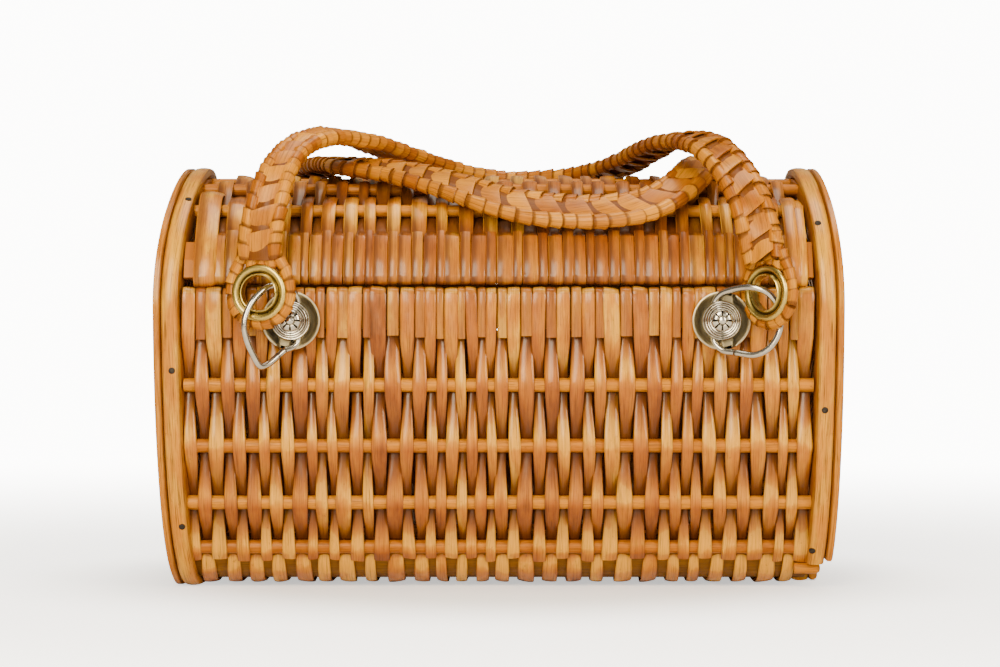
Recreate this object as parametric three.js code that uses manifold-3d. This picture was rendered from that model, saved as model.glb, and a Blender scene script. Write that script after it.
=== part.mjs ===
// A barrel-shaped wicker handbag with a curved flap lid and two plaited handles.
// Millimetres, +Z up, +X to the right, front towards -Y, origin at the middle of the base.
import * as THREE from 'three';
import { mergeVertices } from 'three/addons/utils/BufferGeometryUtils.js';
import Module from 'manifold-3d';

const solidLibrary = await Module();
solidLibrary.setup();

// ---- driving dimensions ---------------------------------------------------------------------
const HALF_WIDTH = 148;
const HALF_DEPTH = 82;
const WAIST_HEIGHT = 124;
const CROWN_RISE = 63.7;
const BASE_HALF_DEPTH = 34;
const GAP = 0.3;

// end hoops: a cane band nailed over an inner frame hoop, with a half-round hoop outside it
const BAND_INNER_X = 136.5;
const BAND_WIDTH = 7.5;
const BAND_THICKNESS = 4.5;
const FRAME_HOOP_THICKNESS = 7;
const FRAME_HOOP_WIDTH = 6.6;
const EDGE_HOOP_INSET = 0.3;
const EDGE_HOOP_THICKNESS = 6.5;
const PANEL_THICKNESS = 4;

// woven walls: the layer of strands between two insets from the hoops' outline
const WEAVE_HALF_LENGTH = 136;
const WEAVE_OUTER_INSET = 3.5;
const WEAVE_INNER_INSET = 11.5;
const ROD_RADIUS = 2.7;
const ROD_INSET = (WEAVE_OUTER_INSET + WEAVE_INNER_INSET) / 2;
const BODY_ROD_HEIGHTS = [89, 62, 36, 14];
const LID_ROD_ANGLES = [49, 69, 90, 111, 131];

// bound rims: a lath wrapped all along with split willow
const RIM_OUTER_INSET = 2.5;
const RIM_INNER_INSET = 10.5;
const RIM_LATH_INSETS = [4.9, 8.1];
const RIM_LATH_MARGIN = 3;
const RIM_BOTTOM = 111;
const SEAM_HEIGHT = 133.5;
const FRONT_SEAM_HALF_GAP = 1;
const BACK_SEAM_HALF_GAP = 1.9;
const LID_BAND_TOP = 157.5;
const LID_HALF_LENGTH = 134;
const LATH_OVERHANG = 1.8;
const BASE_STATION = 0.17;
const BASE_STATION_GAP = 0.003;

// hinge rings at the back seam
const HINGE_RING_X = 62;
const HINGE_RING_RADIUS = 8;
const HINGE_WIRE_RADIUS = 1.2;
const HINGE_SLOT_WIDTH = 3.8;
const HINGE_SLOT = { from: 3.9, to: 10.3 };

// bosses, rings and eyelets
const BOSS_HEIGHT = 117.5;
const CUP_RADIUS = 12.5;
const CUP_FLOOR = 1.2;
const CUP_DEPTH = 4.2;
const SHANK_RADIUS = 1.4;
const SHANK_HOLE_RADIUS = 1.8;
const DOME_RADIUS = 8.5;
const DOME_HEIGHT = 5.2;
const RIVET_HEAD_RADIUS = 3.4;
const WIRE_RADIUS = 1.25;
const BAR_OFFSET = 3;
const EYELET_HEIGHT = 129.3;
const EYELET_RADIUS = 12.2;
const EYELET_HOLE_RADIUS = 7;
const EYELET_HALF_THICKNESS = 1.3;
const EYELET_FLANGE = 0.5;
const TAB_RADIUS = 13;
const TAB_NECK_HALF_WIDTH = 9.5;
const TAB_THICKNESS = 4;
const TAB_TOP = 12.6;
const STRAP_WIDTH = 19;
const STRAP_THICKNESS = 8;

// One ring for each boss: where the boss and the eyelet are, how far the eyelet is turned, and
// the wire's course outward from the bar, up from the boss and, where it is bent, sideways.
const FRONT_LEFT_RING = {
  bossX: -89, eyelet: [-101.5, -93], eyeletTurn: -15,
  course: [[6.5, -12.6], [2, -11], [0, -8.5], [0, -3], [0, 3], [0, 9], [3, 13.2], [9, 15.2],
    [14, 14.6], [18.6, 11.8], [23.6, 6.4], [26.3, -0.6], [25.2, -8], [21.8, -15],
    [18.4, -19.4], [14.8, -18.6], [10.5, -15.6], [7, -13]],
};
const FRONT_RIGHT_RING = {
  bossX: 95.5, eyelet: [114.4, -92.4], eyeletTurn: -48,
  course: [[9, -13.6], [3.4, -12.6], [0, -9], [0, -3], [0, 3], [0, 8], [3, 11.4], [9, 13.4, -0.6],
    [16, 14.2, -1.5], [20.4, 13.6, -1.1], [24.1, 11.8, 0], [27.4, 7.6, 1.6], [29.2, 1, 2.4],
    [28.2, -6, 1.8], [24.4, -11.8, 0.8], [18.6, -14.6], [9.5, -13.7]],
};
const BACK_RING = {
  bossX: 89, eyelet: [101.5, -97], eyeletTurn: 15,
  course: [[7.5, -12.9], [2.4, -11.2], [0, -8.5], [0, -3], [0, 3], [0, 9], [3, 13.4], [9.5, 16],
    [16, 15.6], [21.3, 11.8], [26, 6], [28.4, -0.8], [27, -8.2], [23.2, -15],
    [19.5, -19.4], [15.6, -18.8], [11, -15.8], [7.9, -13.6]],
};

// centre lines of the two straps, from left to right, and of the front strap's two legs
const FRONT_FOOT = { depth: 93, height: 147, left: -101.5, right: 112 };
const LEG_CLEARANCE = 4.5;
const FRONT_STRAP = [
  [-98.8, -91.5, 166.5], [-95, -83.5, 180.5], [-89, -69, 191.5], [-79, -51, 198.4], [-64, -27, 199.1],
  [-44, 2, 193.8], [-22, 25, 187], [4, 38, 182.6], [28, 36, 183.6], [48, 26, 187.2],
  [61, 6, 191.8], [74, -26, 197.4], [83, -46, 197.6], [92, -66, 193], [101.5, -83, 180.5],
  [107.6, -91.5, 166.5],
];
const BACK_STRAP = [
  [-101.5, 97, 146.3], [-101.5, 94, 160], [-100, 82, 176.5], [-94, 58, 187], [-86, 32, 189.3],
  [-77, 4, 189.7], [-65, -24, 187], [-46, -38, 184.1], [-22, -53, 177.4], [2, -63.5, 169.2],
  [26, -67.6, 165.3], [50, -67.6, 165.4], [66, -64.6, 168.7], [76, -58, 174], [84, -46, 180.8],
  [91, -24, 187.6], [97, 4, 189.5], [100, 30, 188.8], [101.6, 58, 186], [102, 82, 176.5],
  [101.5, 94, 160], [101.5, 97, 146.3],
];

// ---- materials ------------------------------------------------------------------------------
const willow = new THREE.MeshStandardMaterial({ color: 0xc47a35, roughness: 0.45, metalness: 0 });
const paleWillow = new THREE.MeshStandardMaterial({ color: 0xd79a55, roughness: 0.45, metalness: 0 });
const caneBand = new THREE.MeshStandardMaterial({ color: 0xcf8f45, roughness: 0.4, metalness: 0 });
const plaitedStraw = new THREE.MeshStandardMaterial({ color: 0xd28a3f, roughness: 0.4, metalness: 0 });
const brass = new THREE.MeshStandardMaterial({ color: 0xb59a4a, roughness: 0.3, metalness: 1 });
const steel = new THREE.MeshStandardMaterial({ color: 0xb9b6ad, roughness: 0.25, metalness: 1 });

// ---- the outline shared by hoops, walls and lid ---------------------------------------------
// Stations run round it in the plane of depth and height: 0 to 1 up the front wall from the
// base, 1 to 3 over the crown, 3 to 4 down the back wall, and 4 to 5 forward along the base.
const frontWall = new THREE.CubicBezierCurve(
  new THREE.Vector2(-BASE_HALF_DEPTH, 0), new THREE.Vector2(-68, 0),
  new THREE.Vector2(-80, 60), new THREE.Vector2(-HALF_DEPTH, WAIST_HEIGHT));
const WALL_STEPS = 8;
const CROWN_STEPS = 18;

function outline(station, inset) {
  if (station > 4) {
    return new THREE.Vector2((4.5 - station) * 2 * BASE_HALF_DEPTH, inset);
  }
  if (station >= 1 && station <= 3) {
    const angle = Math.PI * (1 - (station - 1) / 2);
    const point = new THREE.Vector2(HALF_DEPTH * Math.cos(angle), CROWN_RISE * Math.sin(angle));
    const normal = new THREE.Vector2(Math.cos(angle) / HALF_DEPTH, Math.sin(angle) / CROWN_RISE);
    point.y += WAIST_HEIGHT;
    return point.addScaledVector(normal.normalize(), -inset);
  }
  const along = station < 1 ? station : 4 - station;
  const side = station < 1 ? 1 : -1;
  const point = frontWall.getPoint(along);
  const tangent = frontWall.getTangent(along);
  point.add(new THREE.Vector2(tangent.y, -tangent.x).multiplyScalar(inset));
  return new THREE.Vector2(side * point.x, point.y);
}

function stationAtHeight(height, side) {
  if (height >= WAIST_HEIGHT) {
    const rise = Math.asin((height - WAIST_HEIGHT) / CROWN_RISE) / (Math.PI / 2);
    return side === 'front' ? 1 + rise : 3 - rise;
  }
  let low = 0;
  let high = 1;
  while (high - low > 1e-6) {
    const middle = (low + high) / 2;
    if (frontWall.getPoint(middle).y < height) {
      low = middle;
    } else {
      high = middle;
    }
  }
  return side === 'front' ? low : 4 - low;
}

function stationsBetween(from, to) {
  const all = [];
  for (let i = 0; i <= WALL_STEPS; i++) {
    all.push(i / WALL_STEPS, 3 + i / WALL_STEPS);
  }
  for (let i = 1; i < CROWN_STEPS; i++) {
    all.push(1 + (2 * i) / CROWN_STEPS);
  }
  const margin = 0.03;
  const inside = all.filter((station) => station > from + margin && station < to - margin);
  return [from, ...inside.sort((a, b) => a - b), to];
}

// ---- solids made from cross-sections --------------------------------------------------------
const sectionToWorld = new THREE.Matrix4().makeBasis(
  new THREE.Vector3(0, 1, 0), new THREE.Vector3(0, 0, 1), new THREE.Vector3(1, 0, 0));

function extrudeAlongX(points, holes, fromX, toX) {
  const anticlockwise = THREE.ShapeUtils.isClockWise(points) ? points.toReversed() : points;
  const shape = new THREE.Shape(anticlockwise);
  shape.holes = holes.map((hole) => new THREE.Path(hole));
  const geometry = new THREE.ExtrudeGeometry(shape, { depth: toX - fromX, bevelEnabled: false });
  geometry.applyMatrix4(sectionToWorld);
  return geometry.translate(fromX, 0, 0);
}

function loopAt(inset) {
  const stations = stationsBetween(0, 4);
  return stations.map((station) => outline(station, inset));
}

function hoopGeometry(outerInset, innerInset, fromX, toX) {
  return extrudeAlongX(loopAt(outerInset), [loopAt(innerInset)], fromX, toX);
}

// a strip of wall between two stations, with square or half-round ends
function stripSection(from, to, outerInset, innerInset, rounded = false) {
  const stations = stationsBetween(from, to);
  const outer = stations.map((station) => outline(station, outerInset));
  const inner = stations.map((station) => outline(station, innerInset)).reverse();
  if (!rounded) {
    return [...outer, ...inner];
  }
  return [...outer, ...roundedEnd(outer.at(-1), inner[0]), ...inner,
    ...roundedEnd(inner.at(-1), outer[0])];
}

function roundedEnd(start, end) {
  const centre = start.clone().add(end).multiplyScalar(0.5);
  const arm = start.clone().sub(centre);
  const points = [];
  for (const degrees of [-45, -90, -135]) {
    points.push(centre.clone().add(arm.clone().rotateAround(new THREE.Vector2(), degrees * Math.PI / 180)));
  }
  return points;
}

function roundSection(centre, radius, sides = 8) {
  const points = [];
  for (let i = 0; i < sides; i++) {
    const angle = (2 * Math.PI * (i + 0.5)) / sides;
    points.push(new THREE.Vector2(
      centre.x + radius * Math.cos(angle), centre.y + radius * Math.sin(angle)));
  }
  return points;
}

// ---- cutting --------------------------------------------------------------------------------
function toSolid(geometry) {
  const bare = geometry.clone();
  bare.deleteAttribute('normal');
  bare.deleteAttribute('uv');
  const merged = mergeVertices(bare, 1e-4);
  return new solidLibrary.Manifold(new solidLibrary.Mesh({
    numProp: 3,
    vertProperties: new Float32Array(merged.attributes.position.array),
    triVerts: new Uint32Array(merged.index.array),
  }));
}

function cut(geometry, tools) {
  let solid = toSolid(geometry);
  for (const tool of tools) {
    solid = solid.subtract(toSolid(tool));
  }
  const mesh = solid.getMesh();
  const result = new THREE.BufferGeometry();
  result.setAttribute('position', new THREE.BufferAttribute(mesh.vertProperties, 3));
  result.setIndex(new THREE.BufferAttribute(mesh.triVerts, 1));
  result.computeVertexNormals();
  return result;
}

// ---- placing --------------------------------------------------------------------------------
const basket = new THREE.Group();

function add(parent, name, geometry, material) {
  const mesh = new THREE.Mesh(geometry, material);
  mesh.name = name;
  parent.add(mesh);
  return mesh;
}

// ---- end hoops and end panels ---------------------------------------------------------------
function addEnd(sideName, sign) {
  const span = (near, far) => [Math.min(sign * near, sign * far), Math.max(sign * near, sign * far)];
  const bandOuterX = BAND_INNER_X + BAND_WIDTH;
  const hoopX = span(BAND_INNER_X + GAP, BAND_INNER_X + GAP + FRAME_HOOP_WIDTH);
  const hoopInset = BAND_THICKNESS + GAP;
  const panelInset = hoopInset + FRAME_HOOP_THICKNESS + GAP;
  const panelX = span(BAND_INNER_X + 1.5, BAND_INNER_X + 1.5 + PANEL_THICKNESS);
  add(basket, `cover_band_${sideName}`,
    hoopGeometry(0, BAND_THICKNESS, ...span(BAND_INNER_X, bandOuterX)), caneBand);
  add(basket, `frame_hoop_${sideName}`,
    hoopGeometry(hoopInset, hoopInset + FRAME_HOOP_THICKNESS, ...hoopX), willow);
  add(basket, `edge_hoop_${sideName}`,
    hoopGeometry(EDGE_HOOP_INSET, EDGE_HOOP_INSET + EDGE_HOOP_THICKNESS,
      ...span(bandOuterX + GAP, HALF_WIDTH)), caneBand);
  add(basket, `end_panel_${sideName}`,
    extrudeAlongX(loopAt(panelInset), [], ...panelX), willow);
}

// ---- woven walls of the body ----------------------------------------------------------------
function addRods(names, stations, halfLength) {
  stations.forEach((station, i) => {
    const section = roundSection(outline(station, ROD_INSET), ROD_RADIUS);
    add(basket, names[i], extrudeAlongX(section, [], -halfLength, halfLength), paleWillow);
  });
}

function weaveGeometry(section, rodCentres, halfLength) {
  const channels = rodCentres.map((centre) => roundSection(centre, ROD_RADIUS + GAP + 0.05));
  return extrudeAlongX(section, channels, -halfLength, halfLength);
}

function addWall(side) {
  const rodStations = BODY_ROD_HEIGHTS.map((height) => stationAtHeight(height, side));
  const top = stationAtHeight(RIM_BOTTOM - GAP, side);
  const foot = BASE_STATION + BASE_STATION_GAP;
  const bottom = side === 'front' ? foot : 4 - foot;
  const section = stripSection(
    Math.min(top, bottom), Math.max(top, bottom), WEAVE_OUTER_INSET, WEAVE_INNER_INSET);
  const rodCentres = rodStations.map((station) => outline(station, ROD_INSET));
  add(basket, `${side}_weave`, weaveGeometry(section, rodCentres, WEAVE_HALF_LENGTH), willow);
  addRods(BODY_ROD_HEIGHTS.map((_, i) => `${side}_rod_${i + 1}`), rodStations, WEAVE_HALF_LENGTH);
}

function addBase() {
  const front = stationsBetween(0, BASE_STATION).reverse();
  const back = front.map((station) => 4 - station).reverse();
  const stations = [...front, ...back];
  const outer = stations.map((station) => outline(station, WEAVE_OUTER_INSET));
  const inner = stations.map((station) => outline(station, WEAVE_INNER_INSET)).reverse();
  add(basket, 'base_weave', weaveGeometry([...outer, ...inner], [], WEAVE_HALF_LENGTH), willow);
}

// ---- bound rims -----------------------------------------------------------------------------
// Heights are of the rim's two edges; the lath keeps a margin from both.
function addBoundRim(name, side, lowEdge, highEdge, halfLength, lathHalfLength, cutters) {
  const rounding = (RIM_INNER_INSET - RIM_OUTER_INSET) / 2;
  const section = stripBetweenHeights(
    side, lowEdge + rounding, highEdge - rounding, RIM_OUTER_INSET, RIM_INNER_INSET, true);
  const lath = stripBetweenHeights(
    side, lowEdge + RIM_LATH_MARGIN, highEdge - RIM_LATH_MARGIN, ...RIM_LATH_INSETS);
  const channel = stripBetweenHeights(
    side, lowEdge + RIM_LATH_MARGIN - GAP, highEdge - RIM_LATH_MARGIN + GAP,
    RIM_LATH_INSETS[0] - GAP, RIM_LATH_INSETS[1] + GAP);
  add(basket, `${name}_binding`,
    cut(extrudeAlongX(section, [channel], -halfLength, halfLength), cutters), willow);
  add(basket, `${name}_lath`,
    cut(extrudeAlongX(lath, [], -lathHalfLength, lathHalfLength), cutters), paleWillow);
}

function stripBetweenHeights(side, low, high, outerInset, innerInset, rounded) {
  const stations = [stationAtHeight(low, side), stationAtHeight(high, side)].sort((a, b) => a - b);
  return stripSection(...stations, outerInset, innerInset, rounded);
}

function shankHoles(sign, bossPlaces) {
  return bossPlaces.map((x) => {
    const hole = new THREE.CylinderGeometry(SHANK_HOLE_RADIUS, SHANK_HOLE_RADIUS, 40, 8);
    return hole.translate(x, sign * HALF_DEPTH, BOSS_HEIGHT);
  });
}

function hingeCentre() {
  return outline(stationAtHeight(SEAM_HEIGHT, 'back'), (RIM_OUTER_INSET + RIM_INNER_INSET) / 2);
}

function hingeSlots(direction) {
  const height = HINGE_SLOT.to - HINGE_SLOT.from;
  const centre = hingeCentre().y + direction * (HINGE_SLOT.from + height / 2);
  return [-HINGE_RING_X, HINGE_RING_X].map((x) => (
    new THREE.BoxGeometry(HINGE_SLOT_WIDTH, 40, height).translate(x, HALF_DEPTH, centre)));
}

function addBodyRims() {
  addBoundRim('front_rim', 'front', RIM_BOTTOM, SEAM_HEIGHT - FRONT_SEAM_HALF_GAP,
    WEAVE_HALF_LENGTH, WEAVE_HALF_LENGTH,
    shankHoles(-1, [FRONT_LEFT_RING.bossX, FRONT_RIGHT_RING.bossX]));
  addBoundRim('back_rim', 'back', RIM_BOTTOM, SEAM_HEIGHT - BACK_SEAM_HALF_GAP,
    WEAVE_HALF_LENGTH, WEAVE_HALF_LENGTH,
    [...shankHoles(1, [-BACK_RING.bossX, BACK_RING.bossX]), ...hingeSlots(-1)]);
}

// ---- the lid --------------------------------------------------------------------------------
function addLid() {
  const lathHalfLength = LID_HALF_LENGTH + LATH_OVERHANG;
  const section = stripSection(stationAtHeight(LID_BAND_TOP + GAP, 'front'),
    stationAtHeight(LID_BAND_TOP + GAP, 'back'), WEAVE_OUTER_INSET, WEAVE_INNER_INSET);
  const rodStations = LID_ROD_ANGLES.map((degrees) => 1 + degrees / 90);
  const rodCentres = rodStations.map((station) => outline(station, ROD_INSET));
  add(basket, 'lid_weave', weaveGeometry(section, rodCentres, LID_HALF_LENGTH), willow);
  addRods(LID_ROD_ANGLES.map((_, i) => `lid_rod_${i + 1}`), rodStations, LID_HALF_LENGTH);
  addBoundRim('lid_front', 'front', SEAM_HEIGHT + FRONT_SEAM_HALF_GAP, LID_BAND_TOP,
    LID_HALF_LENGTH, lathHalfLength, []);
  addBoundRim('lid_back', 'back', SEAM_HEIGHT + BACK_SEAM_HALF_GAP, LID_BAND_TOP,
    LID_HALF_LENGTH, lathHalfLength, hingeSlots(1));
}

function addHingeRings() {
  const seam = hingeCentre();
  for (const [sideName, x] of [['left', -HINGE_RING_X], ['right', HINGE_RING_X]]) {
    const ring = new THREE.TorusGeometry(HINGE_RING_RADIUS, HINGE_WIRE_RADIUS, 6, 20);
    ring.rotateY(Math.PI / 2);
    add(basket, `hinge_ring_${sideName}`, ring.translate(x, seam.x, seam.y), paleWillow);
  }
}

// ---- bosses, rings, eyelets and tabs --------------------------------------------------------
// A turned piece is drawn with its axis along Y, standing out from the wall towards +Y, and
// turned round to face the front.
function turned(profile, segments) {
  return new THREE.LatheGeometry(profile.map(([r, y]) => new THREE.Vector2(r, y)), segments);
}

function faceFront(mesh) {
  mesh.rotation.z = Math.PI;
  return mesh;
}

function cupGeometry(outwardSign) {
  const notchWidth = 7.2;
  const profile = [[SHANK_HOLE_RADIUS, 0], [9.6, 0], [CUP_RADIUS, 3.2], [CUP_RADIUS - 0.5, CUP_DEPTH],
    [CUP_RADIUS - 1.6, 3.6], [9.2, CUP_FLOOR], [SHANK_HOLE_RADIUS, CUP_FLOOR], [SHANK_HOLE_RADIUS, 0]];
  const notch = new THREE.BoxGeometry(notchWidth, CUP_DEPTH, 2 * CUP_RADIUS + 2);
  notch.translate(outwardSign * 1.4 - outwardSign * BAR_OFFSET, CUP_FLOOR + CUP_DEPTH / 2, 0);
  return cut(turned(profile, 16), [notch]);
}

function rivetGeometry(wallThickness) {
  const underside = CUP_FLOOR + 2 * WIRE_RADIUS + 2 * GAP;
  const tip = underside + DOME_HEIGHT;
  const headStart = -(wallThickness + 2 * GAP);
  return turned([[0, headStart - 1.2], [RIVET_HEAD_RADIUS, headStart - 1.2],
    [RIVET_HEAD_RADIUS, headStart], [SHANK_RADIUS, headStart], [SHANK_RADIUS, underside],
    [DOME_RADIUS, underside], [DOME_RADIUS, underside + 0.8], [5.2, underside + 3.4], [0, tip]], 14);
}

function ringGeometry(ring) {
  const points = ring.course.map(([out, up, bend = 0]) => new THREE.Vector3(out, bend, up));
  const path = new THREE.CatmullRomCurve3(points, false, 'centripetal');
  const section = new THREE.Shape(roundSection(new THREE.Vector2(), WIRE_RADIUS, 6));
  return new THREE.ExtrudeGeometry(section, { steps: 34, extrudePath: path });
}

function eyeletGeometry() {
  const half = EYELET_HALF_THICKNESS;
  const barrel = EYELET_HOLE_RADIUS + 1;
  const underFlange = half - EYELET_FLANGE;
  return turned([[EYELET_HOLE_RADIUS, -half], [EYELET_RADIUS, -half], [EYELET_RADIUS, -underFlange],
    [barrel, -underFlange], [barrel, underFlange], [EYELET_RADIUS, underFlange],
    [EYELET_RADIUS, half], [EYELET_HOLE_RADIUS, half], [EYELET_HOLE_RADIUS, -half]], 18);
}

function tabGeometry() {
  const points = [];
  const neckAngle = Math.asin(TAB_NECK_HALF_WIDTH / TAB_RADIUS);
  const sweep = 2 * Math.PI - 2 * neckAngle;
  const steps = 14;
  for (let i = 0; i <= steps; i++) {
    const angle = Math.PI / 2 + neckAngle + (sweep * i) / steps;
    points.push(new THREE.Vector2(TAB_RADIUS * Math.cos(angle), TAB_RADIUS * Math.sin(angle)));
  }
  points.push(new THREE.Vector2(TAB_NECK_HALF_WIDTH, TAB_TOP));
  points.push(new THREE.Vector2(-TAB_NECK_HALF_WIDTH, TAB_TOP));
  const shape = new THREE.Shape(points);
  const plate = new THREE.ExtrudeGeometry(shape, { depth: TAB_THICKNESS, bevelEnabled: false });
  plate.rotateX(Math.PI / 2).translate(0, TAB_THICKNESS / 2, 0);
  const web = EYELET_HALF_THICKNESS - EYELET_FLANGE - GAP;
  const seat = (from, to) => new THREE.CylinderGeometry(
    EYELET_RADIUS + GAP, EYELET_RADIUS + GAP, to - from, 18).translate(0, (from + to) / 2, 0);
  const hole = new THREE.CylinderGeometry(EYELET_HOLE_RADIUS + 1.4, EYELET_HOLE_RADIUS + 1.4, 10, 18);
  return cut(plate, [seat(web, 5), seat(-5, -web), hole]);
}

function addHardware(parent, ring, names) {
  const wallFace = outline(stationAtHeight(BOSS_HEIGHT, 'front'), RIM_OUTER_INSET).x;
  const [eyeletX, eyeletY] = ring.eyelet;
  const outwardSign = Math.sign(eyeletX - ring.bossX);
  const boss = new THREE.Group();
  boss.position.set(ring.bossX, wallFace - GAP, BOSS_HEIGHT);
  parent.add(boss);
  faceFront(add(boss, names.cup, cupGeometry(-outwardSign), steel));
  faceFront(add(boss, names.rivet, rivetGeometry(RIM_INNER_INSET - RIM_OUTER_INSET), steel));

  const barX = ring.bossX - outwardSign * BAR_OFFSET;
  const barY = wallFace - 2 * GAP - CUP_FLOOR - WIRE_RADIUS;
  const wire = add(parent, names.ring, ringGeometry(ring), steel);
  wire.position.set(barX, barY, BOSS_HEIGHT);
  wire.rotation.z = Math.atan2(eyeletY - barY, eyeletX - barX);

  const eyelet = add(parent, names.eyelet, eyeletGeometry(), brass);
  const tab = add(parent, names.tab, tabGeometry(), plaitedStraw);
  for (const piece of [eyelet, tab]) {
    piece.position.set(eyeletX, eyeletY, EYELET_HEIGHT);
    piece.rotation.z = (ring.eyeletTurn * Math.PI) / 180;
  }
}

function mirrored(ring) {
  const [x, y] = ring.eyelet;
  return { ...ring, bossX: -ring.bossX, eyelet: [-x, y], eyeletTurn: -ring.eyeletTurn };
}

function addHardwarePair(side, rings) {
  const group = new THREE.Group();
  group.rotation.z = side === 'front' ? 0 : Math.PI;
  basket.add(group);
  for (const [end, ring] of Object.entries(rings)) {
    addHardware(group, ring, {
      cup: `${side}_${end}_cup`,
      rivet: `${side}_${end}_domed_rivet`,
      ring: `${side}_${end}_d_ring`,
      eyelet: `${side}_${end}_eyelet`,
      tab: `${side}_${end}_tab`,
    });
  }
}

// ---- handles --------------------------------------------------------------------------------
// The strap's face looks straight out from the lid that it lies over, all along its length.
class StrapPath extends THREE.CatmullRomCurve3 {
  computeFrenetFrames(segments) {
    const frames = { tangents: [], normals: [], binormals: [] };
    for (let i = 0; i <= segments; i++) {
      const point = this.getPointAt(i / segments);
      const tangent = this.getTangentAt(i / segments);
      const normal = new THREE.Vector3(
        0, point.y / HALF_DEPTH ** 2, (point.z - WAIST_HEIGHT) / CROWN_RISE ** 2);
      normal.addScaledVector(tangent, -normal.dot(tangent)).normalize();
      frames.tangents.push(tangent);
      frames.normals.push(normal);
      frames.binormals.push(new THREE.Vector3().crossVectors(tangent, normal));
    }
    return frames;
  }
}

function strapGeometry(centreLine, steps) {
  const corner = 1.8;
  const x = STRAP_THICKNESS / 2;
  const y = STRAP_WIDTH / 2;
  const section = new THREE.Shape([[x, y - corner], [x - corner, y], [corner - x, y], [-x, y - corner],
    [-x, corner - y], [corner - x, -y], [x - corner, -y], [x, corner - y]]
    .map(([across, along]) => new THREE.Vector2(across, along)));
  const path = new StrapPath(centreLine, false, 'centripetal');
  return new THREE.ExtrudeGeometry(section, { steps, extrudePath: path });
}

function strapPoints(centreLine) {
  return centreLine.map((point) => new THREE.Vector3(...point));
}

// A leg stands between its tab and the arch, clear of where the arch's end turns.
function addFrontHandle() {
  const arch = strapPoints(FRONT_STRAP);
  for (const [end, archEnd] of [['left', arch[0]], ['right', arch.at(-1)]]) {
    const foot = new THREE.Vector3(FRONT_FOOT[end], -FRONT_FOOT.depth, FRONT_FOOT.height);
    const top = archEnd.clone().lerp(foot, LEG_CLEARANCE / archEnd.distanceTo(foot));
    add(basket, `front_${end}_leg`, strapGeometry([foot, top], 1), plaitedStraw);
  }
  add(basket, 'front_handle', strapGeometry(arch, 34), plaitedStraw);
}

// ---- the whole basket -----------------------------------------------------------------------
addEnd('left', -1);
addEnd('right', 1);
addWall('front');
addWall('back');
addBase();
addBodyRims();
addLid();
addHingeRings();
addHardwarePair('front', { left: FRONT_LEFT_RING, right: FRONT_RIGHT_RING });
addHardwarePair('back', { left: BACK_RING, right: mirrored(BACK_RING) });
addFrontHandle();
add(basket, 'back_handle', strapGeometry(strapPoints(BACK_STRAP), 40), plaitedStraw);

export default basket;
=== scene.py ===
"""The looks of a wicker handbag: strands, rods, canes, plaited handles and metal fittings.

All lengths below are millimetres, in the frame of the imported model; meshes are made in metres.
"""

import math
import random

import bpy
import numpy as np
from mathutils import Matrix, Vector


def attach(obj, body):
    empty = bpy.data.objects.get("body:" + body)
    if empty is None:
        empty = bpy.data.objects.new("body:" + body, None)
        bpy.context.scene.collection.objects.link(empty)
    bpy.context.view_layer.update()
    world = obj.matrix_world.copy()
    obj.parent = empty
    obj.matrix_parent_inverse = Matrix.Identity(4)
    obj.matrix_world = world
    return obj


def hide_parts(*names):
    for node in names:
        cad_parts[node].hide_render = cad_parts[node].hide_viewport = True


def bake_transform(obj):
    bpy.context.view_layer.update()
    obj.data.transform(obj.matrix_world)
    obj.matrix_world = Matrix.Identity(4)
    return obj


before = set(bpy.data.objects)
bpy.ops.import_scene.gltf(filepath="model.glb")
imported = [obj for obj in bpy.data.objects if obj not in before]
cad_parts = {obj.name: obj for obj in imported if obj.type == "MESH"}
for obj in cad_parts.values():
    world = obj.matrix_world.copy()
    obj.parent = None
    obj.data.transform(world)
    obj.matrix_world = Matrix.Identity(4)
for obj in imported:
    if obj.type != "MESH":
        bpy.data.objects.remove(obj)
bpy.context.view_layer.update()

# ---- the basket's outline in depth and height ----
HALF_DEPTH, WAIST, RISE, BASE_HALF = 82.0, 124.0, 63.7, 34.0
ROD_INSET, ROD_RADIUS = 7.5, 2.7
OVER, UNDER = 4.0, 11.0
HOOP_LEAN, HOOP_BULGE = (6.0, 3.8), 1.2
BODY_RODS = (89, 62, 36, 14)
LID_ROD_ANGLES = (49, 69, 90, 111, 131)
# insets of a strand on a rim, inside it and hidden behind it; heights where bindings turn and end
ON_RIM, CUT_END, IN_RIM, BURIED = 3.1, 2.9, 9.9, 8.6
RIM_TOP, RIM_INSIDE, RIM_FOOT, RIM_BUTTS = 129.2, 115, 112, 110.2
LID_EDGE, LID_BACK_EDGE, LID_INSIDE, LID_BAND_TOP = 138.2, 139.9, 152, 158.0
STRAND_PITCH, STRAND_THICK, BINDING_THICK = 5.14, 1.2, 0.8
WIDE, SLIM = 1.16, 0.84
BODY_ROD, BASE_ROD = 3.0, 2.2
BODY_HALF, LID_HALF = 136, 134


def dense_outline():
    """Points round the basket from the front base corner over the crown, and how many make its front."""
    t = np.linspace(0, 1, 400)[:, None]
    p = [np.array(q, float) for q in ((-BASE_HALF, 0), (-68, 0), (-80, 60), (-HALF_DEPTH, WAIST))]
    wall = (1 - t) ** 3 * p[0] + 3 * t * (1 - t) ** 2 * p[1] + 3 * t * t * (1 - t) * p[2] + t ** 3 * p[3]
    a = np.linspace(math.pi, math.pi / 2, 400)[1:]
    crown = np.stack([HALF_DEPTH * np.cos(a), WAIST + RISE * np.sin(a)], 1)
    front = np.concatenate([wall, crown])
    back = front[::-1][1:] * (-1, 1)
    base = np.stack([np.linspace(BASE_HALF, -BASE_HALF, 160), np.zeros(160)], 1)[1:-1]
    return np.concatenate([front, back, base]), len(front)


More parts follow.
